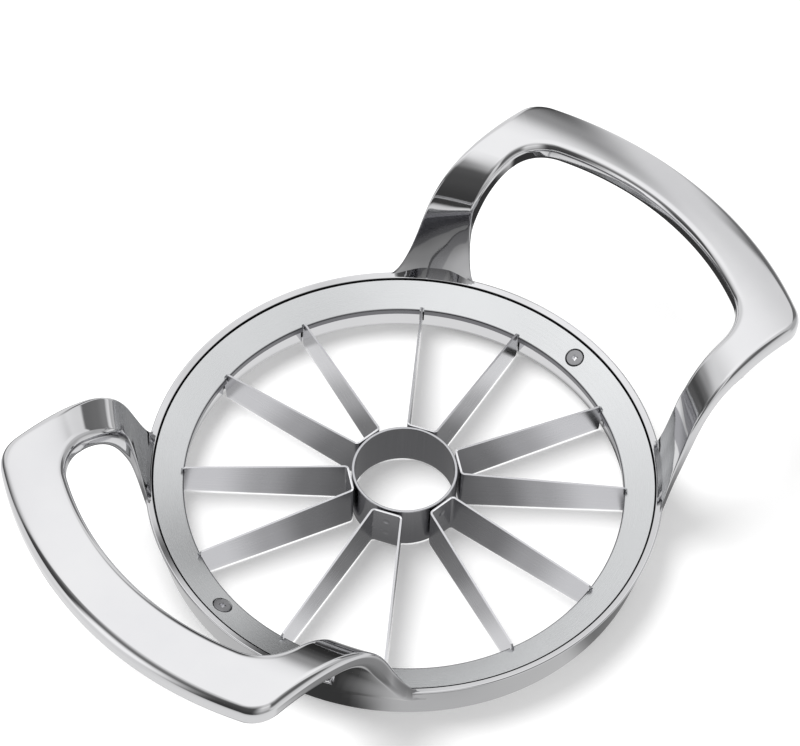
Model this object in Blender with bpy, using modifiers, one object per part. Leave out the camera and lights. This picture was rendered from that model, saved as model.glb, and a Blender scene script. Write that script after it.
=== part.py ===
"""An apple slicer and corer for twelve wedges, as its separate pieces.

A cast frame with two raised loop handles carries a core tube, six double blades, a clamp ring that
holds the blade ends down, and the two screws of that ring. Metres, +Z up. The origin is the middle
of the frame's foot, on the surface that the slicer stands on, and X runs along the handles.
"""

import math

import bmesh
import bpy
from mathutils import Matrix, Vector

# The gap that every piece keeps to the one that it rests on or passes through
clearance = 0.0003

# Ring of the frame
ring_height = 0.0122
rim_radius = 0.0617
rim_width = 0.0017
rim_round = 0.0004
foot_inset = 0.0023
foot_width = 0.0030
foot_round = 0.0006
channel_depth = 0.0016

# Clamp ring, a flat cone that falls towards the middle and stands past the ledge under it
clamp_width = 0.0071
clamp_inner_height = 0.0084
clamp_outer_height = 0.0113
clamp_thickness = 0.0015
clamp_round = 0.0003
clamp_overhang = 0.0011
groove_gap = 0.0004

# Core tube
tube_radius = 0.0126
tube_wall = 0.0007
tube_top = 0.0132
tube_edge = 0.00015
tube_bevel = 0.0018

# Double blades, each one bent strip, whose ends reach under the clamp ring
strip_pairs = 6
strip_thickness = 0.0005
strip_foot = 0.0004
strip_core_height = 0.0128
strip_ring_height = 0.0096
strip_bend = 0.0009
knife_height = 0.0016
knife_edge_share = 0.2
leg_angle = math.radians(13.1)
blade_reach = 0.0005
tab_reach = 0.0045
tab_foot = 0.0036
tab_top = 0.0060
slot_floor = 0.0033

# Spot welds on the web of each strip
weld_radius = 0.0022
weld_depth = 0.00014
weld_heights = (0.0050, 0.0094)

# Clamp screws, countersunk, on the line of the handles
screw_count = 2
screw_head_radius = 0.0021
screw_head_rim = 0.00025
screw_shank_radius = 0.00125
screw_length = 0.0056
screw_tip = 0.0005
screw_slot_length = 0.0025
screw_slot_width = 0.0005
screw_slot_depth = 0.0008

# Handles, in plan
handle_length = 0.0333
handle_half_width = 0.0461
grip_width = 0.0130
arm_width = 0.0098
outer_arch_radius = 0.0916
inner_arch_radius = 0.0718
outer_corner_radius = 0.0077
inner_corner_radius = 0.0114
outer_root_fillet = 0.0140
inner_root_fillet = 0.0030
root_inset = 0.0002
flow_inset = 0.0006
skirt_inset = 0.0007
skirt_depth = 0.0037
root_depth = 0.0001
root_sink = 0.00015

# Handles, from the side, with the crest set in from the grip's edge and the top falling past it
handle_height = 0.0472
crest_inset = 0.0090
fall_reach = 0.0157
corner_fall = 0.0033
grip_thickness = 0.0054
root_thickness = 0.0020
handle_round = 0.0019
root_round = 0.0004

# How the height contours run: round the ring's axis at the root, then leaning towards straight lines.
# The root keeps to the groove between these shares of the angle from its inner to its outer end.
contour_lean_share = 0.30
contour_lean_reach = 0.0040
root_flow_share = (0.35235, 0.53536)

# Control points of the rise, as shares of its reach and of its height
foot_point_share = (0.05, 0.12)
middle_point_share = (0.18, 0.50)
middle_pull_share = (0.05, 0.14)
shoulder_pull_share = 1.8
crest_point_share = (0.42, 1.0)
full_thickness_share = 0.6
side_wall_share = 0.42
corner_match_share = 0.55

# How finely the round shapes are drawn
ring_steps = 96
tube_steps = 64
screw_steps = 24
round_steps = 3
rise_steps = 40
arch_steps = 9
corner_steps = 7
side_steps = 4
across_steps = 4
arm_steps = 8
fillet_steps = 8
path_steps = 40
bend_steps = 4

# Overrun of every cutter past the face that it cuts
overrun = 0.001
merge_gap = 0.00001

foot_radius = rim_radius - foot_inset
groove_radius = rim_radius - rim_width
clamp_outer_radius = groove_radius - groove_gap
clamp_inner_radius = clamp_outer_radius - clamp_width
ledge_inner_radius = clamp_inner_radius + clamp_overhang
blade_end_radius = clamp_inner_radius + blade_reach
tab_end_radius = clamp_inner_radius + tab_reach
root_radius = groove_radius + root_inset
flow_radius = rim_radius - flow_inset
handle_reach = rim_radius + handle_length
hole_half_width = handle_half_width - arm_width
crest_level = handle_reach - crest_inset
corner_level = crest_level + fall_reach
clamp_slope = (clamp_outer_height - clamp_inner_height) / (clamp_outer_radius - clamp_inner_radius)
clamp_tilt = math.atan(clamp_slope)
web_distance = tube_radius + clearance + strip_thickness / 2
web_half_width = web_distance * math.tan(math.pi / (2 * strip_pairs))
slot_width = strip_thickness + 2 * clearance


def clear_scene():
    for old in list(bpy.data.objects):
        bpy.data.objects.remove(old, do_unlink=True)


def new_collection(name):
    collection = bpy.data.collections.new(name)
    bpy.context.scene.collection.children.link(collection)
    return collection


def metal(name, colour, roughness):
    """A plain metal finish."""
    material = bpy.data.materials.new(name)
    material.use_nodes = True
    shader = material.node_tree.nodes["Principled BSDF"]
    shader.inputs["Base Color"].default_value = (*colour, 1.0)
    shader.inputs["Metallic"].default_value = 1.0
    shader.inputs["Roughness"].default_value = roughness
    return material


def add_object(name, mesh, collection, material=None):
    piece = bpy.data.objects.new(name, mesh)
    collection.objects.link(piece)
    if material:
        mesh.materials.append(material)
    return piece


def as_cutter(piece):
    piece.hide_render = True
    piece.display_type = "WIRE"
    return piece


def mesh_of(name, points, edges=(), faces=()):
    mesh = bpy.data.meshes.new(name)
    mesh.from_pydata(points, edges, faces)
    mesh.update()
    return mesh


def turned(name, profile, steps, collection, material=None):
    """A closed profile of (radius, height) pairs, turned about Z. It runs down its outer side."""
    points = [(radius, 0.0, height) for radius, height in profile]
    edges = [(i, (i + 1) % len(points)) for i in range(len(points))]
    piece = add_object(name, mesh_of(name, points, edges), collection, material)
    screw = piece.modifiers.new("turn", "SCREW")
    screw.axis = "Z"
    screw.angle = 2 * math.pi
    screw.steps = steps
    screw.render_steps = steps
    screw.use_merge_vertices = True
    screw.merge_threshold = merge_gap
    screw.use_smooth_shade = True
    return piece


def boolean(piece, other, operation, solver="EXACT"):
    change = piece.modifiers.new(other.name, "BOOLEAN")
    change.operation = operation
    change.solver = solver
    change.object = other


def boxes(name, places, collection):
    """One mesh of boxes. Each place is a size and the matrix that sets the box down."""
    shape = bmesh.new()
    for size, place in places:
        bmesh.ops.create_cube(shape, size=1.0, matrix=place @ Matrix.Diagonal((*size, 1.0)))
    mesh = bpy.data.meshes.new(name)
    shape.to_mesh(mesh)
    shape.free()
    return as_cutter(add_object(name, mesh, collection))


def rounded(corner, start, end, radius, steps):
    """Points of an arc of this radius about a centre, from one angle to another."""
    turn = [start + (end - start) * i / steps for i in range(steps + 1)]
    return [(corner[0] + radius * math.cos(a), corner[1] + radius * math.sin(a)) for a in turn]


def clamp_height(radius):
    """Height of the clamp ring's top face at this radius."""
    return clamp_inner_height + (radius - clamp_inner_radius) * clamp_slope


def ledge_height(radius):
    """Height of the frame's ledge, which lies a clearance under the clamp ring."""
    return clamp_height(radius) - (clamp_thickness + clearance) / math.cos(clamp_tilt)


def leg_point(side, radius):
    """The point at this radius on a strip's leg, in the strip's own plan, where X points outwards."""
    corner = Vector((web_distance, side * web_half_width))
    run = Vector((math.cos(leg_angle), side * math.sin(leg_angle)))
    along = corner.dot(run)
    return corner + run * (math.sqrt(along * along - corner.length_squared + radius * radius) - along)


def strip_angle(index):
    return (index + 0.5) * 2 * math.pi / strip_pairs


def leg_boxes(inner, outer, low, high):
    """Boxes as wide as a slot, along every leg, between two radii and two heights."""
    places = []
    for index in range(strip_pairs):
        turn = Matrix.Rotation(strip_angle(index), 4, "Z")
        for side in (-1, 1):
            start = leg_point(side, inner)
            end = leg_point(side, outer)
            middle = (start + end) / 2
            place = turn @ Matrix.Translation((middle.x, middle.y, (low + high) / 2))
            place = place @ Matrix.Rotation(side * leg_angle, 4, "Z")
            places.append((((end - start).length, slot_width, high - low), place))
    return places


def screw_place(index):
    """Where a clamp screw sits: its origin is in the clamp ring's top face, its Z square to it."""
    radius = (clamp_inner_radius + clamp_outer_radius) / 2
    turn = Matrix.Rotation(index * 2 * math.pi / screw_count, 4, "Z")
    place = Matrix.Translation((radius, 0.0, clamp_height(radius)))
    return turn @ place @ Matrix.Rotation(-clamp_tilt, 4, "Y")


def cubic(points, t):
    """A point of the cubic curve on four control points."""
    weights = ((1 - t) ** 3, 3 * t * (1 - t) ** 2, 3 * t * t * (1 - t), t**3)
    return tuple(sum(w * p[axis] for w, p in zip(weights, points)) for axis in (0, 1))


def root_arc(radius, centre_y):
    """Centre of the fillet that runs an edge of the arm out along the rim, and its angle round the axis."""
    centre_x = math.sqrt((flow_radius + radius) ** 2 - centre_y**2)
    return (centre_x, centre_y), math.atan2(centre_y, centre_x)


def outer_root_arc():
    return root_arc(outer_root_fillet, handle_half_width + outer_root_fillet)


def inner_root_arc():
    return root_arc(inner_root_fillet, hole_half_width - inner_root_fillet)


def level_of(x, y):
    """Which height contour a plan point of the handle is on, named by its radius on the outer edge.

    At the root the contours follow the groove, and move out across the rim where a fillet ends.
    """
    radius = math.hypot(x, y)
    angle = math.atan2(abs(y), x)
    outer = math.hypot(x, max(abs(y), handle_half_width))
    lean = min(max((radius - flow_radius) / contour_lean_reach, 0.0), 1.0)
    inner_end, outer_end = inner_root_arc()[1], outer_root_arc()[1]
    inner_start, outer_start = (inner_end + (outer_end - inner_end) * s for s in root_flow_share)
    past_inner = (inner_start - angle) / (inner_start - inner_end)
    past_outer = (angle - outer_start) / (outer_end - outer_start)
    flow = min(max(past_inner, past_outer, 0.0), 1.0)
    shift = (flow_radius - root_radius) * flow * flow * (3 - 2 * flow)
    return radius + contour_lean_share * lean * (outer - radius) - shift * (1 - lean)


def point_at_level(path, level):
    """Where a plan path that runs down to the root crosses the given contour."""
    for start, end in zip(path, path[1:]):
        high, low = level_of(*start), level_of(*end)
        if low <= level:
            part = min(max((high - level) / (high - low), 0.0), 1.0)
            return tuple(a + (b - a) * part for a, b in zip(start, end))
    return path[-1]


def handle_rise():
    """(level, height) of the handle's top, from the rim's edge up to the crest and out over the grip."""
    start_height = ring_height - root_sink
    middle = Vector(middle_point_share)
    pull = Vector(middle_pull_share)
    lower = ((0.0, 0.0), foot_point_share, middle - pull, middle)
    upper = (middle, middle + pull * shoulder_pull_share, crest_point_share, (1.0, 1.0))
    steps = [i / rise_steps for i in range(rise_steps)]
    shares = [cubic(lower, t) for t in steps] + [cubic(upper, t) for t in steps]
    rise = handle_height - start_height
    reach = crest_level - root_radius
    curve = [(root_radius + reach * x, start_height + rise * y) for x, y in shares]
    last_level = level_of(handle_reach, handle_half_width)
    for i in range(rise_steps + 1):
        level = crest_level + (last_level - crest_level) * i / rise_steps
        over = (level - crest_level) / (corner_level - crest_level)
        curve.append((level, handle_height - corner_fall * over * over))
    return curve


def slope_of(curve, i):
    """Angle of the curve at one of its points."""
    before = curve[max(i - 1, 0)]
    after = curve[min(i + 1, len(curve) - 1)]
    return math.atan2(after[1] - before[1], after[0] - before[0])


def handle_underside(rise):
    """The rise moved square to itself by the casting's thickness, from a start inside the ring's wall."""
    under = [(rim_radius - skirt_inset, ring_height - skirt_depth)]
    for i, (level, height) in enumerate(rise):
        depth = root_thickness + (grip_thickness - root_thickness) * growth(level)
        slope = slope_of(rise, i)
        under.append((level + depth * math.sin(slope), height - depth * math.cos(slope)))
    return under


def growth(level):
    """How far the casting has grown at this level, from 0 at the root to 1 at its full thickness."""
    share = (level - root_radius) / (crest_level - root_radius)
    return min(max(share / full_thickness_share, 0.0), 1.0)


def read_curve(curve, level):
    """Height and steepness of a curve at this level; its ends carry on flat."""
    if level <= curve[0][0]:
        return curve[0][1], 1.0
    for (l0, h0), (l1, h1) in zip(curve, curve[1:]):
        if level <= l1:
            part = (level - l0) / (l1 - l0)
            return h0 + (h1 - h0) * part, math.cos(math.atan2(h1 - h0, l1 - l0))
    return curve[-1][1], 1.0


def outline_arcs(reach, half_width, arch, corner):
    """Centres and angles of half an outline: an arch across X and a round corner into the side."""
    arch_centre = reach - arch
    corner_y = half_width - corner
    corner_x = arch_centre + math.sqrt((arch - corner) ** 2 - corner_y**2)
    return arch_centre, (corner_x, corner_y), math.atan2(corner_y, corner_x - arch_centre)


def handle_stations():
    """Pairs of plan points, one on the loop's inner edge and one on its outer edge, for y >= 0.

    They go from the middle of the grip round the corner and along the arm to its root. Along the
    arm the two points of a pair lie on one contour, so each cross-section is level.
    """
    outer_centre, outer_corner, outer_turn = outline_arcs(
        handle_reach, handle_half_width, outer_arch_radius, outer_corner_radius
    )
    inner_centre, inner_corner, inner_turn = outline_arcs(
        handle_reach - grip_width, hole_half_width, inner_arch_radius, inner_corner_radius
    )
    quarter = math.pi / 2
    inner_split = inner_turn + (quarter - inner_turn) * corner_match_share
    inner = rounded((inner_centre, 0.0), 0.0, inner_turn, inner_arch_radius, arch_steps)
    outer = rounded((outer_centre, 0.0), 0.0, outer_turn, outer_arch_radius, arch_steps)
    inner += rounded(inner_corner, inner_turn, inner_split, inner_corner_radius, corner_steps)[1:]
    outer += rounded(outer_corner, outer_turn, quarter, outer_corner_radius, corner_steps)[1:]

    # The straight side, down to where the hole's corner ends
    straight = [(handle_reach * (1 - i / path_steps), handle_half_width) for i in range(path_steps + 1)]
    level_x = point_at_level(straight, level_of(inner_corner[0], hole_half_width))[0]
    inner += rounded(inner_corner, inner_split, quarter, inner_corner_radius, side_steps)[1:]
    for i in range(1, side_steps + 1):
        x = outer_corner[0] + (level_x - outer_corner[0]) * i / side_steps
        outer.append((x, handle_half_width))

    # The arm with its fillets, which run out along the ring, and a step into the rim
    outer_fillet, outer_end = outer_root_arc()
    inner_fillet, inner_end = inner_root_arc()
    arm = []
    for i in range(1, arm_steps + 1):
        x = level_x + (outer_fillet[0] - level_x) * i / arm_steps
        arm.append((x, handle_half_width))
    arm += rounded(outer_fillet, -quarter, outer_end - math.pi, outer_root_fillet, fillet_steps)[1:]
    inner_side = [(inner_corner[0], hole_half_width)]
    for i in range(1, path_steps + 1):
        x = inner_corner[0] + (inner_fillet[0] - inner_corner[0]) * i / path_steps
        inner_side.append((x, hole_half_width))
    inner_side += rounded(inner_fillet, quarter, math.pi + inner_end, inner_root_fillet, path_steps)[1:]
    inner += [point_at_level(inner_side, level_of(*point)) for point in arm]
    outer += arm
    inside = root_radius - root_depth
    for points, angle in ((inner, inner_end), (outer, outer_end)):
        points.append((inside * math.cos(angle), inside * math.sin(angle)))
    return list(zip(inner, outer))


def handle_section(inner, outer, rise, under):
    """One closed cross-section of the handle, as points, with all four edges rounded."""
    width = math.dist(inner, outer)
    inner_polar = (math.hypot(*inner), math.atan2(inner[1], inner[0]))
    outer_polar = (math.hypot(*outer), math.atan2(outer[1], outer[0]))
    radius = root_round + (handle_round - root_round) * growth(level_of(*outer))
    turns = [math.pi / 2 * i / round_steps for i in range(round_steps + 1)]
    edge = [(radius * (1 - math.cos(a)) / width, radius * (1 - math.sin(a))) for a in turns]
    across = edge + [(i / across_steps, 0.0) for i in range(1, across_steps)]
    across += [(1 - part, drop) for part, drop in reversed(edge)]
    top = []
    bottom = []
    for part, drop in across:
        r = inner_polar[0] + (outer_polar[0] - inner_polar[0]) * part
        a = inner_polar[1] + (outer_polar[1] - inner_polar[1]) * part
        place = (r * math.cos(a), r * math.sin(a))
        level = level_of(*place)
        high, high_slope = read_curve(rise, level)
        low, low_slope = read_curve(under, level)
        most = (high - low) * side_wall_share
        top.append((*place, high - min(drop / high_slope, most)))
        bottom.append((*place, low + min(drop / low_slope, most)))
    return top + bottom[::-1]


def handle_form(name, turn, collection):
    """A whole handle: half of it lofted through its sections, and mirrored across Y."""
    rise = handle_rise()
    under = handle_underside(rise)
    sections = [handle_section(*pair, rise, under) for pair in handle_stations()]
    count = len(sections[0])
    points = [point for section in sections for point in section]
    faces = []
    for s in range(len(sections) - 1):
        for i in range(count):
            j = (i + 1) % count
            a, b = s * count, (s + 1) * count
            faces.append((a + i, a + j, b + j, b + i))
    last = (len(sections) - 1) * count
    for i in range(count // 2 - 1):
        low = last + count - 1 - i
        faces.append((last + i, last + i + 1, low - 1, low))
    piece = add_object(name, mesh_of(name, points, (), faces), collection)
    piece.rotation_euler = (0.0, 0.0, turn)
    mirror = piece.modifiers.new("other half", "MIRROR")
    mirror.use_axis = (False, True, False)
    mirror.use_mirror_merge = True
    mirror.merge_threshold = merge_gap
    return as_cutter(piece)


def frame_profile():
    """Cross-section of the ring: outer wall, foot, channel, ledge for the clamp ring, and rim."""
    quarter = math.pi / 2
    rim = (rim_radius - rim_round, ring_height - rim_round)
    foot = (foot_radius - foot_round, foot_round)
    profile = rounded(rim, quarter, 0.0, rim_round, round_steps)
    profile += rounded(foot, 0.0, -quarter, foot_round, round_steps)
    profile += [
        (foot_radius - foot_width, 0.0),
        (foot_radius - foot_width, channel_depth),
        (ledge_inner_radius, channel_depth),
        (ledge_inner_radius, ledge_height(ledge_inner_radius)),
        (groove_radius, ledge_height(groove_radius)),
        (groove_radius, ring_height),
    ]
    return profile


def pilot_holes(collection):
    """The holes in the frame for the clamp screws, with room round their shanks and tips."""
    shape = bmesh.new()
    depth = screw_length + clearance
    for index in range(screw_count):
        place = screw_place(index) @ Matrix.Translation((0.0, 0.0, (overrun - depth) / 2))
        bmesh.ops.create_cone(
            shape,
            cap_ends=True,
            segments=screw_steps,
            radius1=screw_shank_radius + clearance,
            radius2=screw_shank_radius + clearance,
            depth=depth + overrun,
            matrix=place,
        )
    mesh = bpy.data.meshes.new("pilot_holes")
    shape.to_mesh(mesh)
    shape.free()
    return as_cutter(add_object("pilot_holes", mesh, collection))


def make_frame(parts, cutters):
    """The ring and both handles as one casting. The exact solver drops the ring at some handle widths."""
    polish = metal("polished_casting", (0.62, 0.62, 0.64), 0.12)
    frame = turned("frame", frame_profile(), ring_steps, parts, polish)
    for name, turn in (("right_handle_form", 0.0), ("left_handle_form", math.pi)):
        boolean(frame, handle_form(name, turn, cutters), "UNION", "MANIFOLD")
    top = ledge_height(groove_radius) + overrun
    slots = leg_boxes(ledge_inner_radius - overrun, tab_end_radius + clearance, slot_floor, top)
    boolean(frame, boxes("leg_slots", slots, cutters), "DIFFERENCE")
    boolean(frame, pilot_holes(cutters), "DIFFERENCE")


def make_clamp_ring(parts, cutters):
    """A flat cone with a notch for each leg and a countersunk hole for each screw."""
    drop = clamp_thickness / math.cos(clamp_tilt)
    inner_top = clamp_height(clamp_inner_radius)
    profile = [
        (clamp_outer_radius, clamp_height(clamp_outer_radius)),
        (clamp_outer_radius, clamp_height(clamp_outer_radius) - drop),
        (clamp_inner_radius, inner_top - drop),
        (clamp_inner_radius, inner_top - clamp_round),
        (clamp_inner_radius + clamp_round, clamp_height(clamp_inner_radius + clamp_round)),
    ]
    ring = turned("clamp_ring", profile, ring_steps, parts, metal("satin_steel", (0.58, 0.58, 0.60), 0.32))
    low = inner_top - drop - overrun
    high = clamp_height(blade_end_radius) + overrun
    notches = leg_boxes(clamp_inner_radius - overrun, blade_end_radius + clearance, low, high)
    boolean(ring, boxes("leg_notches", notches, cutters), "DIFFERENCE")
    for index in range(screw_count):
        head = screw_head_radius + clearance
        shank = screw_shank_radius + clearance
        neck = screw_head_rim + screw_head_radius - screw_shank_radius
        profile = [
            (0.0, overrun),
            (head, overrun),
            (head, -screw_head_rim),
            (shank, -neck),
            (shank, -clamp_thickness - overrun),
            (0.0, -clamp_thickness - overrun),
        ]
        hole = turned(f"countersink_{index + 1}", profile, screw_steps, cutters)
        hole.matrix_world = screw_place(index)
        boolean(ring, as_cutter(hole), "DIFFERENCE")


def make_core_tube(parts):
    """The tube that cuts out the core, ground to an edge from inside at its foot."""
    inner = tube_radius - tube_wall
    profile = [
        (tube_radius, tube_top),
        (tube_radius, strip_foot),
        (tube_radius - tube_edge, strip_foot),
        (inner, strip_foot + tube_bevel),
        (inner, tube_top),
    ]
    turned("core_tube", profile, tube_steps, parts, metal("drawn_steel", (0.50, 0.50, 0.52), 0.22))


def strip_path():
    """Plan points along half a strip, from the middle of the web round the bend to the leg's end."""
    turn = math.pi / 2 - leg_angle
    setback = strip_bend * math.tan(turn / 2)
    centre = Vector((web_distance + strip_bend, web_half_width - setback))
    path = [Vector((web_distance, 0.0))]
    for i in range(bend_steps + 1):
        angle = math.pi - turn * i / bend_steps
        path.append(centre + strip_bend * Vector((math.cos(angle), math.sin(angle))))
    path.append(leg_point(1, blade_end_radius))
    path.append(leg_point(1, tab_end_radius))
    return path


def make_double_blade(index, mesh, marks, parts):
    """One strip, turned to its place, with its two spot welds pressed in."""
    blade = bpy.data.objects.new(f"double_blade_{index + 1}", mesh)
    parts.objects.link(blade)
    blade.rotation_euler = (0.0, 0.0, strip_angle(index))
    group = blade.vertex_groups.new(name="body")
    body = [v.index for v in mesh.vertices if v.co.z > strip_foot + merge_gap]
    group.add(body, 1.0, "REPLACE")
    solid = blade.modifiers.new("sheet", "SOLIDIFY")
    solid.thickness = strip_thickness
    solid.offset = 0.0
    solid.use_even_offset = True
    solid.vertex_group = group.name
    solid.thickness_vertex_group = knife_edge_share
    boolean(blade, marks, "DIFFERENCE")


def strip_sheet():
    """The middle sheet of a strip: rows up its height, columns along its whole path."""
    half = strip_path()
    path = [Vector((p.x, -p.y)) for p in reversed(half[1:])] + half
    shared = (strip_foot, strip_foot + knife_height, tab_foot, tab_top)
    core = math.hypot(web_distance, web_half_width)
    shape = bmesh.new()
    columns = []
    for i, point in enumerate(path):
        is_tab_end = i in (0, len(path) - 1)
        away = (point.length - core) / (blade_end_radius - core)
        top = strip_core_height + (strip_ring_height - strip_core_height) * max(away, 0.0)
        heights = (None, None, tab_foot, tab_top, None) if is_tab_end else (*shared, top)
        columns.append([None if z is None else shape.verts.new((*point, z)) for z in heights])
    for left, right in zip(columns, columns[1:]):
        for row in range(len(shared)):
            corners = (left[row], right[row], right[row + 1], left[row + 1])
            if None not in corners:
                shape.faces.new(corners)
    mesh = bpy.data.meshes.new("strip_sheet")
    shape.to_mesh(mesh)
    shape.free()
    return mesh


def make_double_blades(parts, cutters):
    material = metal("blade_steel", (0.52, 0.52, 0.54), 0.25)
    face = web_distance + strip_thickness / 2
    shape = bmesh.new()
    for height in weld_heights:
        place = Matrix.Translation((face + weld_radius - weld_depth, 0.0, height))
        bmesh.ops.create_uvsphere(shape, u_segments=16, v_segments=12, radius=weld_radius, matrix=place)
    marks_mesh = bpy.data.meshes.new("weld_marks")
    shape.to_mesh(marks_mesh)
    shape.free()
    sheet = strip_sheet()
    sheet.materials.append(material)
    for index in range(strip_pairs):
        marks = as_cutter(add_object(f"weld_marks_{index + 1}", marks_mesh, cutters))
        marks.rotation_euler = (0.0, 0.0, strip_angle(index))
        make_double_blade(index, sheet, marks, parts)


def make_clamp_screw(index, parts, cutters, material):
    """A countersunk screw with a cross recess."""
    neck = screw_head_rim + screw_head_radius - screw_shank_radius
    profile = [
        (0.0, 0.0),
        (screw_head_radius, 0.0),
        (screw_head_radius, -screw_head_rim),
        (screw_shank_radius, -neck),
        (screw_shank_radius, screw_tip - screw_length),
        (screw_shank_radius - screw_tip, -screw_length),
        (0.0, -screw_length),
    ]
    screw = turned(f"clamp_screw_{index + 1}", profile, screw_steps, parts, material)
    screw.matrix_world = screw_place(index)
    size = (screw_slot_length, screw_slot_width, screw_slot_depth + overrun)
    middle = Matrix.Translation((0.0, 0.0, (overrun - screw_slot_depth) / 2))
    arms = []
    for turn in (math.pi / 4, 3 * math.pi / 4):
        arms.append((size, screw_place(index) @ middle @ Matrix.Rotation(turn, 4, "Z")))
    for number, arm in enumerate(arms):
        boolean(screw, boxes(f"recess_{index + 1}_{number + 1}", [arm], cutters), "DIFFERENCE")


def main():
    clear_scene()
    parts = new_collection("apple_slicer")
    cutters = new_collection("cutters")
    make_frame(parts, cutters)
    make_clamp_ring(parts, cutters)
    make_core_tube(parts)
    make_double_blades(parts, cutters)
    screw_metal = metal("screw_steel", (0.42, 0.42, 0.44), 0.28)
    for index in range(screw_count):
        make_clamp_screw(index, parts, cutters, screw_metal)


main()
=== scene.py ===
"""The looks of a twelve-wedge apple slicer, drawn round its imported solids.

Every piece is made again from the same sizes with finer steps, gets its own metal finish, and stands on
a pale floor in soft light. Metres, +Z up. The origin is the middle of the foot, X runs along the handles.
"""

import bisect
import math

import bmesh
import bpy
from mathutils import Matrix, Vector
from mathutils.kdtree import KDTree


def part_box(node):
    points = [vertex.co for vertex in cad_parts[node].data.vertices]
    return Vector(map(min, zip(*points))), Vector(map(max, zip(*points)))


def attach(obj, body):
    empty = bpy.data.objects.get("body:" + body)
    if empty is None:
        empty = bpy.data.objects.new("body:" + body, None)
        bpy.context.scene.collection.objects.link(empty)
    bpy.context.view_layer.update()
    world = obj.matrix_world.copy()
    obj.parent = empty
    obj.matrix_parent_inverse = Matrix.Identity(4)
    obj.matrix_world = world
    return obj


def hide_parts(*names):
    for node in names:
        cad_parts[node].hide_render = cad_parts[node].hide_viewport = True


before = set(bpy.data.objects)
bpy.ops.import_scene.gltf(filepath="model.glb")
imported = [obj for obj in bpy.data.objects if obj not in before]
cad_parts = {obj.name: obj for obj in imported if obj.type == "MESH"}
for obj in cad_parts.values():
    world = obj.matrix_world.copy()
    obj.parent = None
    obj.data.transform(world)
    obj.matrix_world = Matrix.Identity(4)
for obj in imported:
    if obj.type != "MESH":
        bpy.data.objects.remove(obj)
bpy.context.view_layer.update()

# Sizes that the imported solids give
handle_reach, rim_radius, handle_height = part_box("frame")[1]
clamp_outer_radius, _, clamp_outer_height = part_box("clamp_ring")[1]
tube_radius, _, tube_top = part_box("core_tube")[1]
tube_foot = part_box("core_tube")[0].z

clearance = 0.0003

# Ring of the casting
ring_height = 0.0122
rim_width = 0.0017
rim_round = 0.0004
rim_fall = 0.0005
rim_edge = 0.0001
rim_rows = (0.05, 0.12, 0.3, 0.5, 0.7, 0.88, 0.95)
wall_rows = 18
foot_inset = 0.0023
foot_width = 0.0030
foot_round = 0.0006
channel_depth = 0.0016

# Clamp ring, a flat cone that falls towards the middle
clamp_width = 0.0071
clamp_inner_height = 0.0084
clamp_thickness = 0.0015
clamp_round = 0.00035
clamp_overhang = 0.0011

# Core tube
tube_wall = 0.0007
tube_edge = 0.00015
tube_bevel = 0.0018
tube_round = 0.0002

# Double blades, each one bent strip
strip_pairs = 6
strip_thickness = 0.0005
strip_foot = 0.0004
strip_core_height = 0.0128
strip_ring_height = 0.0096
strip_bend = 0.0009
strip_round = 0.00012
strip_end_round = 0.0008
strip_rows = (3, 7, 10, 30)
web_steps = 20
leg_steps = 12
knife_height = 0.0016
knife_edge_share = 0.2
leg_angle = math.radians(13.1)
blade_reach = 0.0005
tab_reach = 0.0045
tab_foot = 0.0036
tab_top = 0.0060
slot_floor = 0.0033
weld_radius = 0.0009
weld_depth = 0.00012
weld_rim = 0.00003
weld_heights = (0.0050, 0.0094)
weld_dent = (0.35, 1.0)
weld_swell = ((0.8, 1.05), (1.05, 1.5))

# Clamp screws, countersunk, on the line of the handles
screw_count = 2
screw_head_radius = 0.0021
screw_head_rim = 0.00025
screw_head_round = 0.00018
screw_shank_radius = 0.00125
screw_length = 0.0056
screw_tip = 0.0005
recess_length = 0.0025
recess_width = 0.0005
recess_depth = 0.0008
recess_floor_share = 0.45
recess_middle_radius = 0.0006

# Handles, in plan
handle_half_width = 0.0461
grip_width = 0.0130
arm_width = 0.0098
outer_arch_radius = 0.0916
inner_arch_radius = 0.0718
outer_corner_radius = 0.0077
inner_corner_radius = 0.0114
outer_root_fillet = 0.0140
inner_root_fillet = 0.0030
root_inset = 0.0002
flow_inset = 0.0006
skirt_inset = 0.0007
skirt_depth = 0.0037
root_depth = 0.0001
root_sink = 0.00015

# Handles, from the side
crest_inset = 0.0090
fall_reach = 0.0157
corner_fall = 0.0033
grip_thickness = 0.0054
root_thickness = 0.0020
handle_round = 0.0019
root_round = 0.0004
contour_lean_share = 0.30
contour_lean_reach = 0.0040
contour_lean_start = 0.0006
root_flow_share = (0.35235, 0.53536)
foot_point_share = (0.05, 0.12)
middle_point_share = (0.18, 0.50)
middle_pull_share = (0.05, 0.14)
shoulder_pull_share = 1.8
crest_point_share = (0.42, 1.0)
full_thickness_share = 0.6
side_wall_share = 0.42
corner_match_share = 0.55

# How finely the round shapes are drawn
ring_steps = 480
tube_steps = 256
screw_steps = 96
round_steps = 8
rise_steps = 200
arch_steps = 36
corner_steps = 28
side_steps = 16
across_steps = 20
arm_steps = 36
fillet_steps = 36
path_steps = 200
bend_steps = 16
crease_angle = math.radians(32)
soften_angle = math.radians(45)
quarter = math.pi / 2

overrun = 0.001
merge_gap = 0.000005

# How softly the handles grow out of the ring
seam_angle = math.radians(4)
blend_reach = 0.0016
blend_edge = 0.0004
blend_inset = 0.0003
blend_drop = 0.0010
blend_end = math.radians(4)
blend_rounds = 40
blend_fade = 4
blend_least = 0.0005

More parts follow.
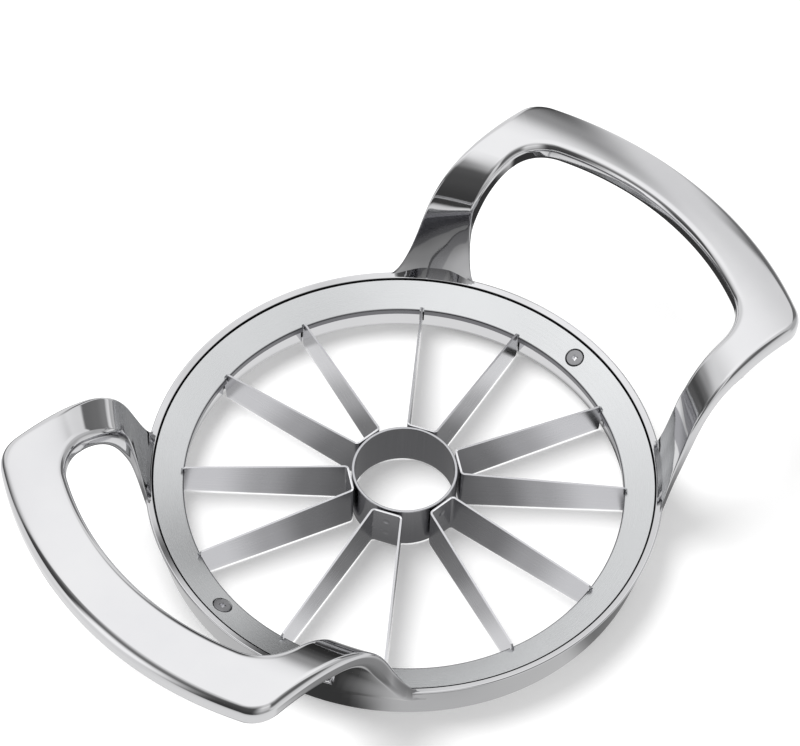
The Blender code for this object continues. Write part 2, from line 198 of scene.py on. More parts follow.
groove_radius = rim_radius - rim_width
clamp_inner_radius = clamp_outer_radius - clamp_width
ledge_inner_radius = clamp_inner_radius + clamp_overhang
blade_end_radius = clamp_inner_radius + blade_reach
tab_end_radius = clamp_inner_radius + tab_reach
root_radius = groove_radius + root_inset
flow_radius = rim_radius - flow_inset
hole_half_width = handle_half_width - arm_width
crest_level = handle_reach - crest_inset
corner_level = crest_level + fall_reach
clamp_slope = (clamp_outer_height - clamp_inner_height) / clamp_width
clamp_tilt = math.atan(clamp_slope)
web_distance = tube_radius + clearance + strip_thickness / 2
web_half_width = web_distance * math.tan(math.pi / (2 * strip_pairs))
slot_width = strip_thickness + 2 * clearance
screw_neck = screw_head_rim + screw_head_radius - screw_shank_radius


# Shapes

def set_up(thing, **settings):
    """The thing with these settings."""
    for name, value in settings.items():
        setattr(thing, name, value)
    return thing


def add_object(name, data):
    thing = bpy.data.objects.new(name, data)
    bpy.context.scene.collection.objects.link(thing)
    return thing


def piece_of(name, points, edges=(), faces=()):
    mesh = bpy.data.meshes.new(name)
    mesh.from_pydata(points, edges, faces)
    mesh.update()
    return add_object(name, mesh)


def piece_from(name, shape):
    """A piece with the faces of a bmesh, which is then dropped."""
    mesh = bpy.data.meshes.new(name)
    shape.to_mesh(mesh)
    shape.free()
    return add_object(name, mesh)


def ring_faces(rows, turns, first=0):
    """Faces between rows of points that each go once round."""
    faces = []
    for row in range(rows - 1):
        low, high = first + row * turns, first + (row + 1) * turns
        for i in range(turns):
            j = (i + 1) % turns
            faces.append((low + i, low + j, high + j, high + i))
    return faces


def turned(name, profile, steps):
    """A closed profile of (radius, height) pairs, turned about Z. It runs down its outer side."""
    points = [(radius, 0.0, height) for radius, height in profile]
    edges = [(i, (i + 1) % len(points)) for i in range(len(points))]
    piece = piece_of(name, points, edges)
    screw = piece.modifiers.new("turn", "SCREW")
    set_up(screw, axis="Z", angle=2 * math.pi, steps=steps, render_steps=steps)
    set_up(screw, use_merge_vertices=True, merge_threshold=merge_gap)
    return piece


def combine(piece, other, operation="DIFFERENCE"):
    """Cut another closed shape out of the piece, or join it on, and then drop that shape."""
    change = piece.modifiers.new(other.name, "BOOLEAN")
    set_up(change, operation=operation, solver="MANIFOLD", object=other)
    settle(piece)
    bpy.data.objects.remove(other, do_unlink=True)


def settle(piece):
    """Apply the piece's modifiers, so that it is one plain mesh."""
    graph = bpy.context.evaluated_depsgraph_get()
    graph.update()
    mesh = bpy.data.meshes.new_from_object(piece.evaluated_get(graph), depsgraph=graph)
    piece.modifiers.clear()
    piece.data = mesh


def finish_piece(piece, material, slot, *nodes):
    """Smooth faces with true creases, the metal, and the CAD nodes that the piece stands for."""
    if piece.modifiers:
        settle(piece)
    piece.data.shade_smooth()
    piece.data.set_sharp_from_angle(angle=crease_angle)
    piece.modifiers.new("even_shading", "WEIGHTED_NORMAL").keep_sharp = True
    piece.data.materials.clear()
    piece.data.materials.append(material)
    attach(piece, "root")
    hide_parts(*nodes)


def smooth(value, low, high):
    """0 below low, 1 above high, and a soft rise between them."""
    share = min(max((value - low) / (high - low), 0.0), 1.0)
    return share * share * (3 - 2 * share)


def band(value, rise, fall):
    """1 between two soft edges, each a (from, to) pair, and 0 outside them."""
    return smooth(value, *rise) * (1 - smooth(value, *fall))


def rounded(corner, start, end, radius, steps):
    """Points of an arc of this radius about a centre, from one angle to another."""
    turn = [start + (end - start) * i / steps for i in range(steps + 1)]
    return [(corner[0] + radius * math.cos(a), corner[1] + radius * math.sin(a)) for a in turn]


def clamp_height(radius):
    return clamp_inner_height + (radius - clamp_inner_radius) * clamp_slope


def ledge_height(radius):
    return clamp_height(radius) - (clamp_thickness + clearance) / math.cos(clamp_tilt)


def leg_point(side, radius):
    """The point at this radius on a strip's leg, in the strip's own plan, where X points outwards."""
    corner = Vector((web_distance, side * web_half_width))
    run = Vector((math.cos(leg_angle), side * math.sin(leg_angle)))
    along = corner.dot(run)
    return corner + run * (math.sqrt(along * along - corner.length_squared + radius * radius) - along)


def strip_angle(index):
    return (index + 0.5) * 2 * math.pi / strip_pairs


def leg_boxes(name, inner, outer, low, high):
    """Boxes as wide as a slot, along every leg, between two radii and two heights."""
    shape = bmesh.new()
    for index in range(strip_pairs):
        turn = Matrix.Rotation(strip_angle(index), 4, "Z")
        for side in (-1, 1):
            start, end = leg_point(side, inner), leg_point(side, outer)
            middle = (start + end) / 2
            place = turn @ Matrix.Translation((middle.x, middle.y, (low + high) / 2))
            place = place @ Matrix.Rotation(side * leg_angle, 4, "Z")
            size = Matrix.Diagonal(((end - start).length, slot_width, high - low, 1.0))
            bmesh.ops.create_cube(shape, size=1.0, matrix=place @ size)
    return piece_from(name, shape)


def screw_place(index):
    """Where a clamp screw sits: its origin is in the clamp ring's top face, its Z square to it."""
    radius = (clamp_inner_radius + clamp_outer_radius) / 2
    turn = Matrix.Rotation(index * 2 * math.pi / screw_count, 4, "Z")
    place = Matrix.Translation((radius, 0.0, clamp_height(radius)))
    return turn @ place @ Matrix.Rotation(-clamp_tilt, 4, "Y")


def cubic(points, t):
    """A point of the cubic curve on four control points."""
    weights = ((1 - t) ** 3, 3 * t * (1 - t) ** 2, 3 * t * t * (1 - t), t**3)
    return tuple(sum(w * p[axis] for w, p in zip(weights, points)) for axis in (0, 1))


def root_arc(radius, centre_y):
    """Centre of the fillet that runs an edge of the arm out along the rim, and its angle round the axis."""
    centre_x = math.sqrt((flow_radius + radius) ** 2 - centre_y**2)
    return (centre_x, centre_y), math.atan2(centre_y, centre_x)


outer_fillet, outer_end = root_arc(outer_root_fillet, handle_half_width + outer_root_fillet)
inner_fillet, inner_end = root_arc(inner_root_fillet, hole_half_width - inner_root_fillet)
inner_start, outer_start = (inner_end + (outer_end - inner_end) * s for s in root_flow_share)


def level_of(x, y):
    """Which height contour a plan point of the handle is on, named by its radius on the outer edge."""
    radius = math.hypot(x, y)
    angle = math.atan2(abs(y), x)
    outer = math.hypot(x, max(abs(y), handle_half_width))
    lean = smooth(radius, flow_radius - contour_lean_start, flow_radius + contour_lean_reach)
    past_inner = (inner_start - angle) / (inner_start - inner_end)
    past_outer = (angle - outer_start) / (outer_end - outer_start)
    flow = smooth(max(past_inner, past_outer), 0.0, 1.0)
    shift = (flow_radius - root_radius) * flow
    return radius + contour_lean_share * lean * (outer - radius) - shift * (1 - lean)


def point_at_level(path, level):
    """Where a plan path that runs down to the root crosses the given contour."""
    for start, end in zip(path, path[1:]):
        high, low = level_of(*start), level_of(*end)
        if low <= level:
            part = min(max((high - level) / (high - low), 0.0), 1.0)
            return tuple(a + (b - a) * part for a, b in zip(start, end))
    return path[-1]


def handle_rise():
    """(level, height) of the handle's top, from the rim's edge up to the crest and out over the grip."""
    start_height = ring_height - rim_fall - root_sink
    middle = Vector(middle_point_share)
    pull = Vector(middle_pull_share)
    lower = ((0.0, 0.0), foot_point_share, middle - pull, middle)
    upper = (middle, middle + pull * shoulder_pull_share, crest_point_share, (1.0, 1.0))
    steps = [i / rise_steps for i in range(rise_steps)]
    shares = [cubic(lower, t) for t in steps] + [cubic(upper, t) for t in steps]
    rise = handle_height - start_height
    reach = crest_level - root_radius
    curve = [(root_radius + reach * x, start_height + rise * y) for x, y in shares]
    last_level = level_of(handle_reach, handle_half_width)
    for i in range(rise_steps + 1):
        level = crest_level + (last_level - crest_level) * i / rise_steps
        over = (level - crest_level) / (corner_level - crest_level)
        curve.append((level, handle_height - corner_fall * over * over))
    return curve


def slope_of(curve, i):
    before = curve[max(i - 1, 0)]
    after = curve[min(i + 1, len(curve) - 1)]
    return math.atan2(after[1] - before[1], after[0] - before[0])


def growth(level):
    """How far the casting has grown at this level, from 0 at the root to 1 at its full thickness."""
    share = (level - root_radius) / (crest_level - root_radius)
    return min(max(share / full_thickness_share, 0.0), 1.0)


def handle_underside(rise):
    """The rise moved square to itself by the casting's thickness, from a start inside the ring's wall."""
    under = [(rim_radius - skirt_inset, ring_height - skirt_depth)]
    for i, (level, height) in enumerate(rise):
        depth = root_thickness + (grip_thickness - root_thickness) * growth(level)
        slope = slope_of(rise, i)
        under.append((level + depth * math.sin(slope), height - depth * math.cos(slope)))
    return under


def curve_reader(curve):
    """A function that gives a curve's height and steepness at a level. The curve's ends carry on flat."""
    levels = [level for level, _ in curve]

    def read(level):
        i = bisect.bisect_left(levels, level)
        if i == 0 or i == len(curve):
            return curve[min(i, len(curve) - 1)][1], 1.0
        (l0, h0), (l1, h1) = curve[i - 1], curve[i]
        part = (level - l0) / (l1 - l0)
        return h0 + (h1 - h0) * part, math.cos(math.atan2(h1 - h0, l1 - l0))

    return read


def outline_arcs(reach, half_width, arch, corner):
    """Centres and angles of half an outline: an arch across X and a round corner into the side."""
    arch_centre = reach - arch
    corner_y = half_width - corner
    corner_x = arch_centre + math.sqrt((arch - corner) ** 2 - corner_y**2)
    return arch_centre, (corner_x, corner_y), math.atan2(corner_y, corner_x - arch_centre)


def level_run(start, end, y, steps):
    """Plan points at one Y, from just past one X up to another."""
    return [(start + (end - start) * i / steps, y) for i in range(1, steps + 1)]


def handle_stations():
    """Pairs of plan points on the loop's inner and outer edge, from the grip's middle to the root."""
    outer_size = (handle_reach, handle_half_width, outer_arch_radius, outer_corner_radius)
    inner_size = (handle_reach - grip_width, hole_half_width, inner_arch_radius, inner_corner_radius)
    outer_centre, outer_corner, outer_turn = outline_arcs(*outer_size)
    inner_centre, inner_corner, inner_turn = outline_arcs(*inner_size)
    inner_split = inner_turn + (quarter - inner_turn) * corner_match_share
    inner = rounded((inner_centre, 0.0), 0.0, inner_turn, inner_arch_radius, arch_steps)
    outer = rounded((outer_centre, 0.0), 0.0, outer_turn, outer_arch_radius, arch_steps)
    inner += rounded(inner_corner, inner_turn, inner_split, inner_corner_radius, corner_steps)[1:]
    outer += rounded(outer_corner, outer_turn, quarter, outer_corner_radius, corner_steps)[1:]

    # The straight side, down to where the hole's corner ends
    straight = [(handle_reach, handle_half_width)]
    straight += level_run(handle_reach, 0.0, handle_half_width, path_steps)
    level_x = point_at_level(straight, level_of(inner_corner[0], hole_half_width))[0]
    inner += rounded(inner_corner, inner_split, quarter, inner_corner_radius, side_steps)[1:]
    outer += level_run(outer_corner[0], level_x, handle_half_width, side_steps)

    # The arm with its fillets, which run out along the ring, and a step into the rim
    arm = level_run(level_x, outer_fillet[0], handle_half_width, arm_steps)
    arm += rounded(outer_fillet, -quarter, outer_end - math.pi, outer_root_fillet, fillet_steps)[1:]
    inner_side = [(inner_corner[0], hole_half_width)]
    inner_side += level_run(inner_corner[0], inner_fillet[0], hole_half_width, path_steps)
    inner_side += rounded(inner_fillet, quarter, math.pi + inner_end, inner_root_fillet, path_steps)[1:]
    inner += [point_at_level(inner_side, level_of(*point)) for point in arm]
    outer += arm
    inside = root_radius - root_depth
    for points, angle in ((inner, inner_end), (outer, outer_end)):
        points.append((inside * math.cos(angle), inside * math.sin(angle)))
    return list(zip(inner, outer))


def handle_section(inner, outer, read_top, read_under):
    """One closed cross-section of the handle, as points, with all four edges rounded."""
    width = math.dist(inner, outer)
    (near, start), (far, end) = ((math.hypot(*p), math.atan2(p[1], p[0])) for p in (inner, outer))
    radius = root_round + (handle_round - root_round) * growth(level_of(*outer))
    turns = [quarter * i / round_steps for i in range(round_steps + 1)]
    edge = [(radius * (1 - math.cos(a)) / width, radius * (1 - math.sin(a))) for a in turns]
    first = edge[-1][0]
    across = edge + [(first + (1 - 2 * first) * i / across_steps, 0.0) for i in range(1, across_steps)]
    across += [(1 - part, drop) for part, drop in reversed(edge)]
    top, bottom = [], []
    for part, drop in across:
        r, a = near + (far - near) * part, start + (end - start) * part
        place = (r * math.cos(a), r * math.sin(a))
        level = level_of(*place)
        high, high_slope = read_top(level)
        low, low_slope = read_under(level)
        most = (high - low) * side_wall_share
        top.append((*place, high - min(drop / high_slope, most)))
        bottom.append((*place, low + min(drop / low_slope, most)))
    return top + bottom[::-1]


def handle_form(name, turn):
    """A whole handle: half of it lofted through its sections, and mirrored across Y."""
    rise = handle_rise()
    read_top = curve_reader(rise)
    read_under = curve_reader(handle_underside(rise))
    sections = [handle_section(*pair, read_top, read_under) for pair in handle_stations()]
    count = len(sections[0])
    points = [point for section in sections for point in section]
    faces = ring_faces(len(sections), count)
    last = (len(sections) - 1) * count
    for i in range(count // 2 - 1):
        low = last + count - 1 - i
        faces.append((last + i, last + i + 1, low - 1, low))
    piece = piece_of(name, points, (), faces)
    piece.rotation_euler = (0.0, 0.0, turn)
    mirror = piece.modifiers.new("other half", "MIRROR")
    set_up(mirror, use_axis=(False, True, False), use_mirror_merge=True, merge_threshold=merge_gap)
    return piece


def ring_profile():
    """Cross-section of the ring: outer wall, foot, channel, ledge for the clamp ring, and rim."""
    rim = (rim_radius - rim_round, ring_height - rim_round)
    foot = (rim_radius - foot_inset - foot_round, foot_round)
    profile = rounded(rim, quarter, 0.0, rim_round, round_steps)
    top, bottom = Vector(profile[-1]), Vector((foot[0] + foot_round, foot[1]))
    profile += [tuple(top.lerp(bottom, i / wall_rows)) for i in range(1, wall_rows)]
    profile += rounded(foot, 0.0, -quarter, foot_round, round_steps)
    inner_foot = rim_radius - foot_inset - foot_width
    profile += [(inner_foot, 0.0), (inner_foot, channel_depth), (ledge_inner_radius, channel_depth)]
    profile += [(radius, ledge_height(radius)) for radius in (ledge_inner_radius, groove_radius)]
    rim_top = ring_height - rim_fall
    profile += [(groove_radius, rim_top - rim_edge), (groove_radius + rim_edge, rim_top)]
    inside, outside = Vector(profile[-1]), Vector(profile[0])
    return profile + [tuple(inside.lerp(outside, share)) for share in rim_rows]


def blend_roots(piece):
    """Round the inner corners where the handles grow out of the ring, as a casting has them."""
    shape = bmesh.new()
    shape.from_mesh(piece.data)

    def blend_share(point):
        if point.xy.length < root_radius + blend_inset:
            return 0.0
        angle = math.atan2(abs(point.y), abs(point.x))
        along = band(angle, (inner_end, inner_end + blend_end), (outer_end - blend_end, outer_end))
        below = 1 - smooth(point.z, ring_height - blend_drop, ring_height - rim_fall)
        return (along * below) ** blend_fade

    seam = set()
    for edge in shape.edges:
        sides = {face.material_index for face in edge.link_faces}
        if len(sides) == 2 and edge.calc_face_angle(0.0) > seam_angle:
            seam.update(v for v in edge.verts if blend_share(v.co) > 0.0)
    tree = KDTree(len(seam))
    for i, v in enumerate(seam):
        tree.insert(v.co, i)
    tree.balance()

    def is_blended(v):
        return blend_share(v.co) > blend_least and tree.find(v.co)[2] < blend_reach

    def split_faces():
        bmesh.ops.triangulate(shape, faces=[f for f in shape.faces if any(map(is_blended, f.verts))])

    split_faces()
    for _ in range(2):
        long = [e for e in shape.edges if e.calc_length() > blend_edge and all(map(is_blended, e.verts))]
        bmesh.ops.subdivide_edges(shape, edges=long, cuts=1)
        split_faces()
    moving = []
    for v in shape.verts:
        away = tree.find(v.co)[2]
        share = (1 - smooth(away, 0.0, blend_reach)) * blend_share(v.co) / 2
        if share > 0.0:
            moving.append((v, share, [e.other_vert(v) for e in v.link_edges]))
    for _ in range(blend_rounds):
        goals = []
        for v, share, others in moving:
            middle = sum((other.co for other in others), Vector()) / len(others)
            goals.append(v.co.lerp(middle, share))
        for (v, _, _), goal in zip(moving, goals):
            v.co = goal
    for face in shape.faces:
        face.material_index = 0
    shape.to_mesh(piece.data)
    shape.free()


def cylinder_at(name, place, radius, top, bottom):
    shape = bmesh.new()
    middle = place @ Matrix.Translation((0.0, 0.0, (top + bottom) / 2))
    bmesh.ops.create_cone(
        shape, cap_ends=True, segments=screw_steps, radius1=radius, radius2=radius,
        depth=top - bottom, matrix=middle,
    )
    return piece_from(name, shape)


def make_casting(material):
    """The ring and both loop handles, one polished casting."""
    casting = turned("casting", ring_profile(), ring_steps)
    for _ in range(2):
        casting.data.materials.append(material)
    for name, turn in (("right_handle", 0.0), ("left_handle", math.pi)):
        handle = handle_form(name, turn)
        for _ in range(2):
            handle.data.materials.append(material)
        handle.data.polygons.foreach_set("material_index", [1] * len(handle.data.polygons))
        combine(casting, handle, "UNION")
    blend_roots(casting)
    top = ledge_height(groove_radius) + overrun
    slots = leg_boxes("leg_slots", ledge_inner_radius - overrun, tab_end_radius + clearance, slot_floor, top)
    combine(casting, slots)
    radius, depth = screw_shank_radius + clearance, screw_length + clearance
    for index in range(screw_count):
        combine(casting, cylinder_at("pilot_hole", screw_place(index), radius, overrun, -depth))
    finish_piece(casting, material, "polished_casting", "frame")


def make_clamp_ring(material):
    """A flat cone with a notch for each leg and a countersunk hole for each screw."""
    drop = clamp_thickness / math.cos(clamp_tilt)
    inner_top = clamp_height(clamp_inner_radius)
    nose = (clamp_inner_radius + clamp_round, inner_top - clamp_round * math.cos(clamp_tilt))
    profile = [
        (clamp_outer_radius, clamp_height(clamp_outer_radius)),
        (clamp_outer_radius, clamp_height(clamp_outer_radius) - drop),
        (clamp_inner_radius, inner_top - drop),
    ]
    profile += rounded(nose, math.pi, quarter + clamp_tilt, clamp_round, round_steps)
    ring = turned("turned_clamp_ring", profile, ring_steps)
    low = inner_top - drop - overrun
    high = clamp_height(blade_end_radius) + overrun
    inner, outer = clamp_inner_radius - overrun, blade_end_radius + clearance
    notches = leg_boxes("leg_notches", inner, outer, low, high)
    combine(ring, notches)
    head = screw_head_radius + clearance
    shank = screw_shank_radius + clearance
    below = -clamp_thickness - overrun
    profile = [(0.0, overrun), (head, overrun), (head, -screw_head_rim), (shank, -screw_neck)]
    profile += [(shank, below), (0.0, below)]
    for index in range(screw_count):
        hole = turned("countersink", profile, screw_steps)
        hole.matrix_world = screw_place(index)
        combine(ring, hole)
    finish_piece(ring, material, "satin_steel", "clamp_ring")


def make_core_tube(material):
    """The tube that cuts out the core, with a rounded top and an edge ground from inside at its foot."""
    inner = tube_radius - tube_wall
    outer_lip = (tube_radius - tube_round, tube_top - tube_round)
    inner_lip = (inner + tube_round, tube_top - tube_round)
    profile = rounded(outer_lip, quarter, 0.0, tube_round, round_steps)
    profile += [
        (tube_radius, tube_foot),
        (tube_radius - tube_edge, tube_foot),
        (inner, tube_foot + tube_bevel),
    ]
    profile += rounded(inner_lip, math.pi, quarter, tube_round, round_steps)
    tube = turned("drawn_core_tube", profile, tube_steps)
    finish_piece(tube, material, "drawn_steel", "core_tube")


def strip_path():
    """Plan points along half a strip, from the middle of the web round the bend to the leg's end."""
    turn = quarter - leg_angle
    setback = strip_bend * math.tan(turn / 2)
    centre = Vector((web_distance + strip_bend, web_half_width - setback))
    path = [Vector((web_distance, centre.y * i / web_steps)) for i in range(web_steps)]
    path += map(Vector, rounded(centre, math.pi, math.pi - turn, strip_bend, bend_steps))
    bend_end = path[-1].length
    straight = blade_end_radius - strip_end_round - bend_end
    radii = [bend_end + straight * i / leg_steps for i in range(1, leg_steps + 1)]
    for i in range(1, round_steps + 1):
        radii.append(blade_end_radius - strip_end_round * (1 - math.sin(quarter * i / round_steps)))
    return path + [leg_point(1, radius) for radius in radii + [tab_end_radius]]


def strip_top(radius):
    """Height of a strip's upper edge, which falls towards the ring and ends in a small round corner."""
    core = math.hypot(web_distance, web_half_width)
    away = max((radius - core) / (blade_end_radius - core), 0.0)
    top = strip_core_height + (strip_ring_height - strip_core_height) * away
    into = min(max(radius - blade_end_radius + strip_end_round, 0.0), strip_end_round)
    return top - strip_end_round + math.sqrt(strip_end_round**2 - into**2)


def strip_sheet(name):
    """The middle sheet of a strip: rows up its height, columns along its whole path."""
    half = strip_path()
    path = [Vector((p.x, -p.y)) for p in reversed(half[1:])] + half
    shape = bmesh.new()
    columns = []
    for i, point in enumerate(path):
        is_tab_end = i in (0, len(path) - 1)
        levels = (strip_foot, strip_foot + knife_height, tab_foot, tab_top, strip_top(point.length))
        column = []
        for span, count in enumerate(strip_rows):
            for step in range(count + (span == len(strip_rows) - 1)):
                z = levels[span] + (levels[span + 1] - levels[span]) * step / count
                is_tab = tab_foot - merge_gap < z < tab_top + merge_gap
                column.append(shape.verts.new((*point, z)) if is_tab or not is_tab_end else None)
        columns.append(column)
    for left, right in zip(columns, columns[1:]):
        for corners in zip(left, right, right[1:], left[1:]):
            if None not in corners:
                shape.faces.new(corners)
    return piece_from(name, shape)


def press_welds(point):
    """How far a spot weld presses in the web's outer face at this point: a dent with a low rim."""
    depth = 0.0
    for height in weld_heights:
        away = math.hypot(point.y, point.z - height) / weld_radius
        depth += weld_depth * (1 - smooth(away, *weld_dent)) - weld_rim * band(away, *weld_swell)
    return depth


def soften_upper_edges(piece):
    """Round the strip's upper edges and its free ends, down to where the tabs begin."""
    shape = bmesh.new()
    shape.from_mesh(piece.data)
    upper = [e for e in shape.edges if all(v.co.z > tab_top + merge_gap for v in e.verts)]
    edges = [e for e in upper if e.calc_face_angle(0.0) > soften_angle]
    bmesh.ops.bevel(
        shape, geom=edges, offset=strip_round, segments=3, profile=0.5, affect="EDGES", clamp_overlap=True
    )
    shape.to_mesh(piece.data)
    shape.free()


def make_slicing_strip(index, material):
    """One strip with a knife edge below, rounded edges above, and its spot welds pressed in."""
    strip = strip_sheet(f"slicing_strip_{index + 1}")
    body = strip.vertex_groups.new(name="body")
    for v in strip.data.vertices:
        body.add([v.index], min((v.co.z - strip_foot) / knife_height, 1.0), "REPLACE")
    solid = strip.modifiers.new("sheet", "SOLIDIFY")
    set_up(solid, thickness=strip_thickness, offset=0.0, use_even_offset=True)
    set_up(solid, vertex_group=body.name, thickness_vertex_group=knife_edge_share)
    settle(strip)
    soften_upper_edges(strip)
    for v in strip.data.vertices:
        if abs(v.co.x - web_distance - strip_thickness / 2) < merge_gap:
            v.co.x -= press_welds(v.co)
    strip.rotation_euler = (0.0, 0.0, strip_angle(index))
    finish_piece(strip, material, "blade_steel", f"double_blade_{index + 1}")


def recess_arm(name, place):
    """One arm of the cross recess: a box whose floor is smaller than its mouth."""
    shape = bmesh.new()
    depth = recess_depth + overrun
    size = Matrix.Diagonal((recess_length, recess_width, depth, 1.0))
    bmesh.ops.create_cube(shape, size=1.0, matrix=Matrix.Translation((0.0, 0.0, overrun - depth / 2)) @ size)
    for v in shape.verts:
        if v.co.z < 0.0:
            v.co.x *= recess_floor_share
            v.co.y *= recess_floor_share
    shape.transform(place)
    return piece_from(name, shape)


def make_clamp_screw(index, material):
    """A countersunk screw with a softened head and a tapered cross recess."""
    lip = (screw_head_radius - screw_head_round, -screw_head_round)
    profile = [(0.0, 0.0)] + rounded(lip, quarter, 0.0, screw_head_round, round_steps)
    profile += [
        (screw_head_radius, -screw_head_rim),
        (screw_shank_radius, -screw_neck),
        (screw_shank_radius, screw_tip - screw_length),
        (screw_shank_radius - screw_tip, -screw_length),
        (0.0, -screw_length),
    ]
    screw = turned(f"countersunk_screw_{index + 1}", profile, screw_steps)
    for turn in (math.pi / 4, 3 * math.pi / 4):
        combine(screw, recess_arm("recess_arm", Matrix.Rotation(turn, 4, "Z")))
    middle = cylinder_at("recess_middle", Matrix.Identity(4), recess_middle_radius, overrun, -recess_depth)
    combine(screw, middle)
    screw.matrix_world = screw_place(index)
    finish_piece(screw, material, "screw_steel", f"clamp_screw_{index + 1}")


# Finishes

waver_reach = 0.01


def add_node(tree, kind, inputs=None, **settings):
    """A shader node with its settings, and its inputs, which are values or other nodes' outputs."""
    node = set_up(tree.nodes.new(kind), **settings)
    for name, value in (inputs or {}).items():
        if isinstance(value, bpy.types.NodeSocket):
            tree.links.new(value, node.inputs[name])
        else:
            node.inputs[name].default_value = value
    return node


def sum_up(tree, operation, *values):
    """The output of a Math node on these values."""
    return add_node(tree, "ShaderNodeMath", dict(enumerate(values)), operation=operation).outputs[0]


def times(tree, first, second):
    return sum_up(tree, "MULTIPLY", first, second)


def plus_part(tree, value, share, amount):
    """The value, and this amount more where the share is 1."""
    return sum_up(tree, "ADD", value, times(tree, share, amount))


def scaled_place(tree, scales=(1.0, 1.0, 1.0), turn=0.0):
    """Object coordinates, turned about Z and stretched, as a vector output."""
    place = add_node(tree, "ShaderNodeTexCoord").outputs["Object"]
    inputs = {"Vector": place, "Scale": scales, "Rotation": (0.0, 0.0, turn)}
    return add_node(tree, "ShaderNodeMapping", inputs).outputs["Vector"]


def noise(tree, vector, scale, detail=2.0, rough=0.5):
    inputs = {"Vector": vector, "Scale": scale, "Detail": detail, "Roughness": rough}
    return add_node(tree, "ShaderNodeTexNoise", inputs).outputs["Fac"]


def between(tree, value, low, high, start=0.0, end=1.0):
    """The value mapped from low to high onto start to end, and kept there."""
    inputs = {"Value": value, "From Min": low, "From Max": high, "To Min": start, "To Max": end}
    return add_node(tree, "ShaderNodeMapRange", inputs, clamp=True).outputs[0]


def mixed_colour(tree, share, first, second):
    """A colour between two, by a share from 0 to 1. The first is a colour or another node's output."""
    start = first if isinstance(first, bpy.types.NodeSocket) else (*first, 1.0)
    inputs = {0: share, 6: start, 7: (*second, 1.0)}
    return add_node(tree, "ShaderNodeMix", inputs, data_type="RGBA").outputs[2]


def place_group(tree, name, **values):
    """The outputs of one of the shared groups, with these values at its inputs."""
    return add_node(tree, "ShaderNodeGroup", values, node_tree=bpy.data.node_groups[name]).outputs


def share_group(name, build, **inputs):
    """Make a node group with number inputs, from the outputs that build gives by name on its tree."""
    group = bpy.data.node_groups.new(name, "ShaderNodeTree")
    for label, value in inputs.items():
        socket = group.interface.new_socket(label, in_out="INPUT", socket_type="NodeSocketFloat")
        socket.default_value = value
    outputs = build(group, group.nodes.new("NodeGroupInput").outputs)
    for label in outputs:
        group.interface.new_socket(label, in_out="OUTPUT", socket_type="NodeSocketFloat")
    end = group.nodes.new("NodeGroupOutput").inputs
    for label, output in outputs.items():
        group.links.new(output, end[label])


def hairline_nodes(tree, inputs):
    """Thin scratches in a few directions, as left by wiping: Marks is 1 on a scratch."""
    total = None
    for turn, reach in ((0.3, 0.03), (1.25, 0.045), (2.2, 0.025)):
        vector = scaled_place(tree, (reach, 1.0, 1.0), turn)
        lines = noise(tree, vector, inputs["Fineness"], 3.0)
        where = between(tree, noise(tree, vector, 60.0, 1.0), 0.5, 0.62)
        marks = times(tree, between(tree, lines, 0.66, 0.74), where)
        total = marks if total is None else sum_up(tree, "MAXIMUM", total, marks)
    return {"Marks": times(tree, total, inputs["Amount"])}


def haze_nodes(tree, inputs):
    """Soft uneven patches, as left by handling and polishing: Haze runs from 0 to 1."""
    wide = noise(tree, scaled_place(tree), inputs["Size"], 4.0, 0.6)
    return {"Haze": between(tree, wide, 0.35, 0.7)}


def reach_nodes(tree, _):
    """Distance from the object's upright axis and height above its origin, in metres."""
    place = add_node(tree, "ShaderNodeTexCoord").outputs["Object"]
    parts = add_node(tree, "ShaderNodeSeparateXYZ", {0: place}).outputs
    squares = [times(tree, parts[axis], parts[axis]) for axis in ("X", "Y")]
    return {"Radius": sum_up(tree, "SQRT", sum_up(tree, "ADD", *squares)), "Height": parts["Z"]}


def turned_nodes(tree, inputs):
    """Fine circles about Z, as left by turning: Grain runs from 0 to 1."""
    place = add_node(tree, "ShaderNodeTexCoord").outputs["Object"]
    waver = times(tree, noise(tree, place, 25.0, 1.0), inputs["Waver"])
    along = plus_part(tree, place_group(tree, "reach_from_axis")["Radius"], waver, waver_reach)
    values = {"W": times(tree, along, inputs["Fineness"]), "Scale": 1.0, "Detail": 4.0}
    return {"Grain": add_node(tree, "ShaderNodeTexNoise", values, noise_dimensions="1D").outputs["Fac"]}


def rolled_nodes(tree, inputs):
    """Fine level lines, as left by rolling and grinding a strip: Grain runs from 0 to 1."""
    return {"Grain": noise(tree, scaled_place(tree, (0.012, 0.012, 1.0)), inputs["Fineness"], 3.0, 0.6)}


def edge_nodes(tree, inputs):
    """Convex edges: Edge is 1 there. Handling polishes them smoother, and a lighter colour on them is a
    painted highlight.
    """
    sharpness = add_node(tree, "ShaderNodeNewGeometry").outputs["Pointiness"]
    return {"Edge": between(tree, sharpness, inputs["Start"], inputs["Full"])}


share_group("reach_from_axis", reach_nodes)
share_group("hairlines", hairline_nodes, Fineness=900.0, Amount=0.5)
share_group("handling_haze", haze_nodes, Size=38.0)
share_group("turned_grain", turned_nodes, Fineness=9000.0, Waver=0.02)
share_group("rolled_grain", rolled_nodes, Fineness=6000.0)
share_group("bright_edges", edge_nodes, Start=0.53, Full=0.6)


def metal(name, build, anisotropy=0.0):
    """A metal, from the colour, roughness, relief and depth of relief that build gives on its tree."""
    material = bpy.data.materials.new(name)
    material.use_nodes = True
    tree = material.node_tree
    colour, rough, height, depth = build(tree)
    inputs = {"Height": height, "Distance": depth, "Strength": 1.0}
    normal = add_node(tree, "ShaderNodeBump", inputs).outputs["Normal"]
    shader = tree.nodes["Principled BSDF"].inputs
    shader["Metallic"].default_value = 1.0
    shader["Anisotropic"].default_value = anisotropy
    for label, output in (("Base Color", colour), ("Roughness", rough), ("Normal", normal)):
        tree.links.new(output, shader[label])
    return material


